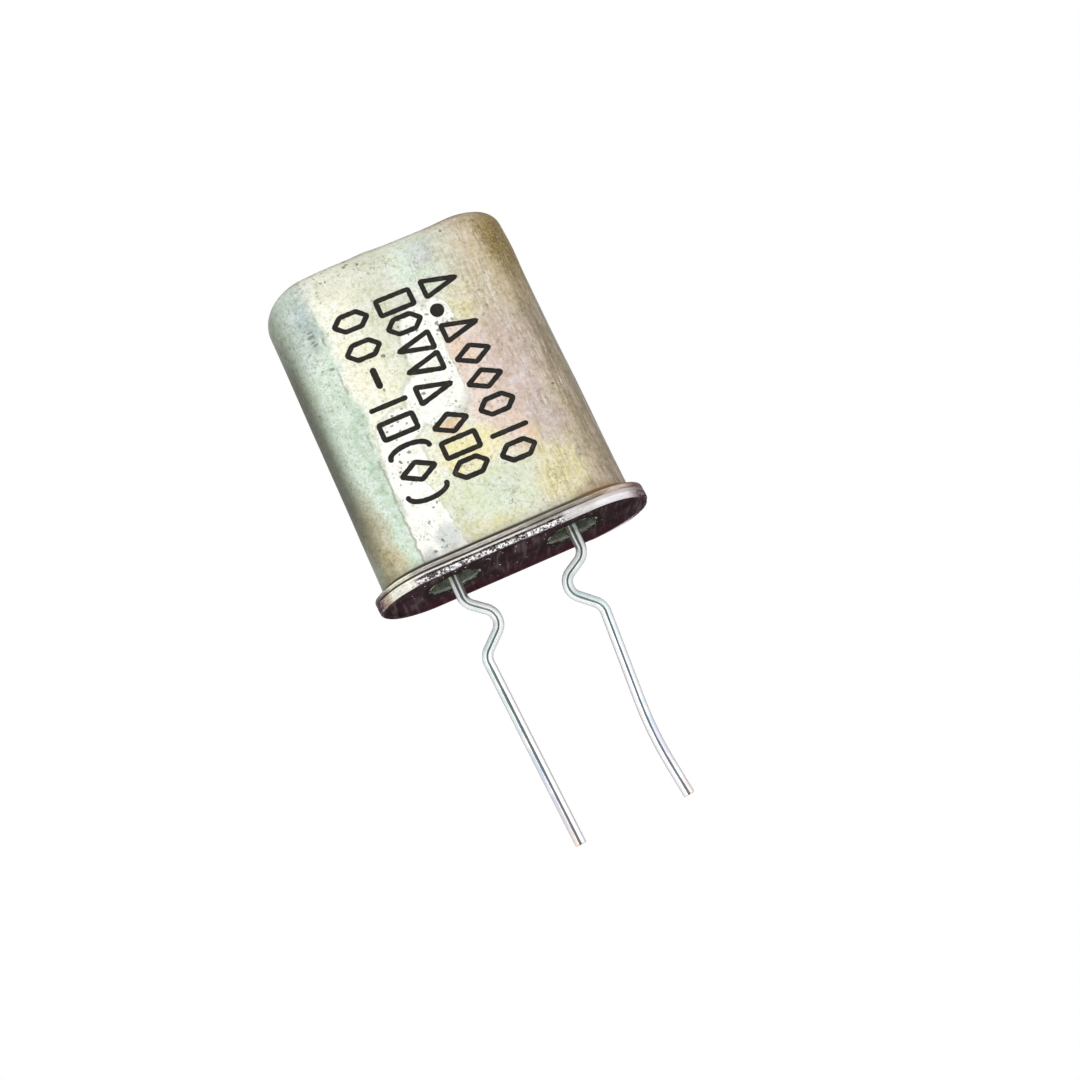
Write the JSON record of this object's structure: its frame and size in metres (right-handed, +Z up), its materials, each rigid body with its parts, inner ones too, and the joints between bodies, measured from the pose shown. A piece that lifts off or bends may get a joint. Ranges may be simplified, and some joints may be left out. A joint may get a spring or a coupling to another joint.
{
  "type": "through-hole quartz crystal",
  "caption": "Crystal resonator in a welded metal can with round ends, a flanged base, glass seals and kinked wire leads, holding a quartz disc in spring clips.",
  "frame": {"origin": "centre of the base, in the plane of the rim's underside, which is the seating plane on the board", "axes": "+Z up the can, +X along its long side, towards the right lead as seen from the printed face, +Y away from that face through the can's depth"},
  "size_m": [0.011, 0.0046, 0.0242],
  "materials": {
    "can": "thin satin plating gone cloudy and iridescent, fine draw lines, small dark specks",
    "base": "dark heat-tinted plating, glossy, with fine streaks and light specks",
    "glass_seal": "dark green sealing glass, fire-polished",
    "lead": "bright tinned wire",
    "clip": "plain nickel strip",
    "quartz": "fine-lapped clear quartz",
    "electrode": "evaporated silver film",
    "cement": "silver-filled conductive cement"
  },
  "bodies": {
    "root": {"can": "can", "base_plate": "base", "glass_seal_left": "glass_seal", "glass_seal_right": "glass_seal", "lead_left": "lead", "lead_right": "lead", "support_clip_left": "clip", "support_clip_right": "clip", "quartz_blank": "quartz", "electrode_front": "electrode", "electrode_back": "electrode", "cement_left": "cement", "cement_right": "cement"}
  },
  "joints": []
}
